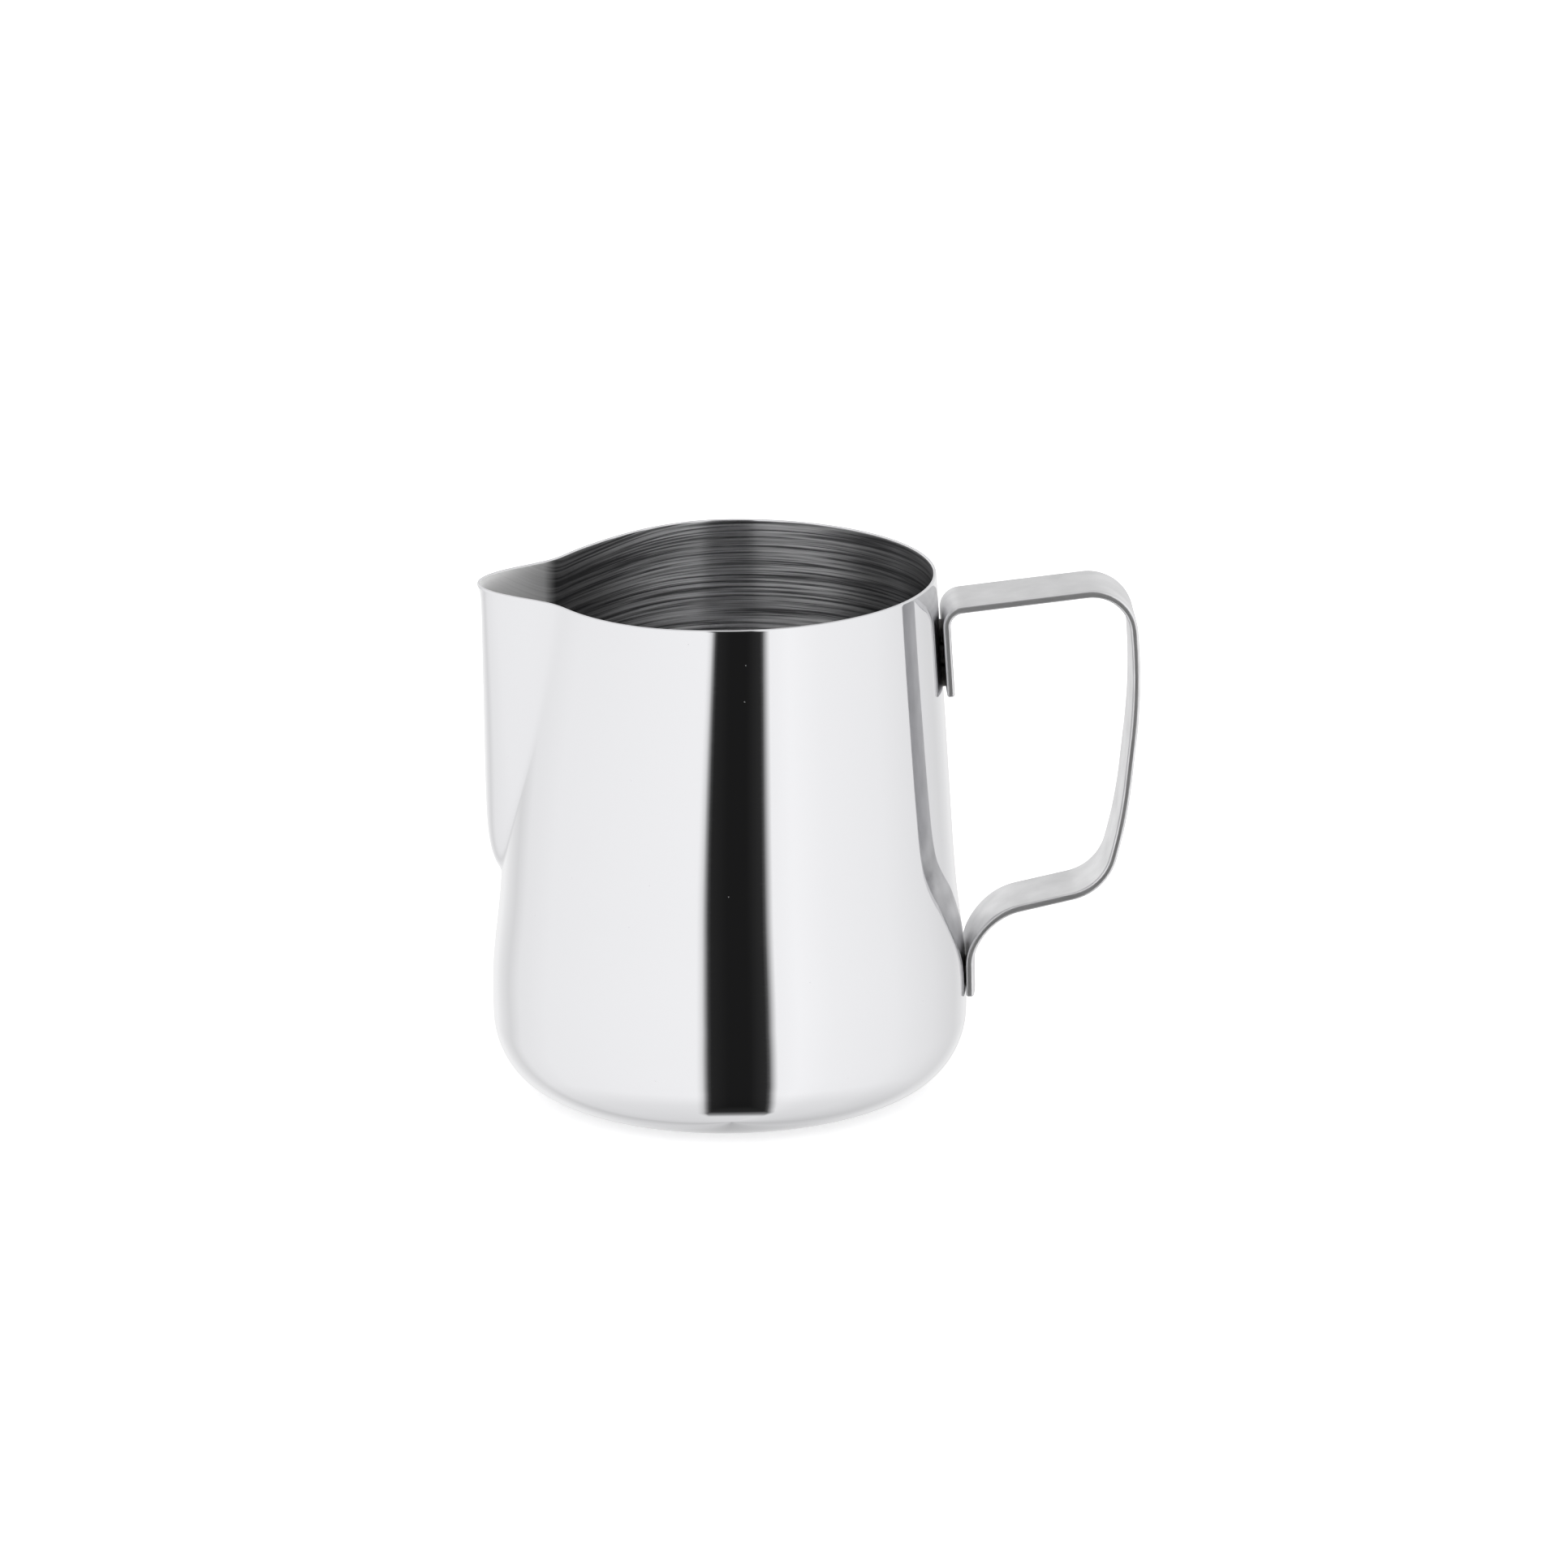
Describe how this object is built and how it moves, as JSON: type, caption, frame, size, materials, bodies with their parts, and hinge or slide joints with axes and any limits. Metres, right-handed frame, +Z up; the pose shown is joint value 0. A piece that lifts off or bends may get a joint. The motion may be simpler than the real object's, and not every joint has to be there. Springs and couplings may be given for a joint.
{
  "type": "milk frothing pitcher",
  "caption": "Open stainless steel milk pitcher with a pressed pouring spout, rounded belly and bent strip handle.",
  "frame": {"origin": "centre of the round foot, on the surface that the pitcher stands on", "axes": "+Z up along the axis of the round shell; +X from the axis towards the handle; the spout points along -X"},
  "size_m": [0.1305, 0.095, 0.1039],
  "materials": {
    "polished_shell": "mirror polished outside, fine turned lines inside",
    "tumbled_strip": "tumbled to a soft satin",
    "weld_metal": "bare spot weld"
  },
  "bodies": {
    "root": {"pitcher_body": "polished_shell", "handle": "tumbled_strip", "upper_welds": "weld_metal", "lower_welds": "weld_metal"}
  },
  "joints": []
}
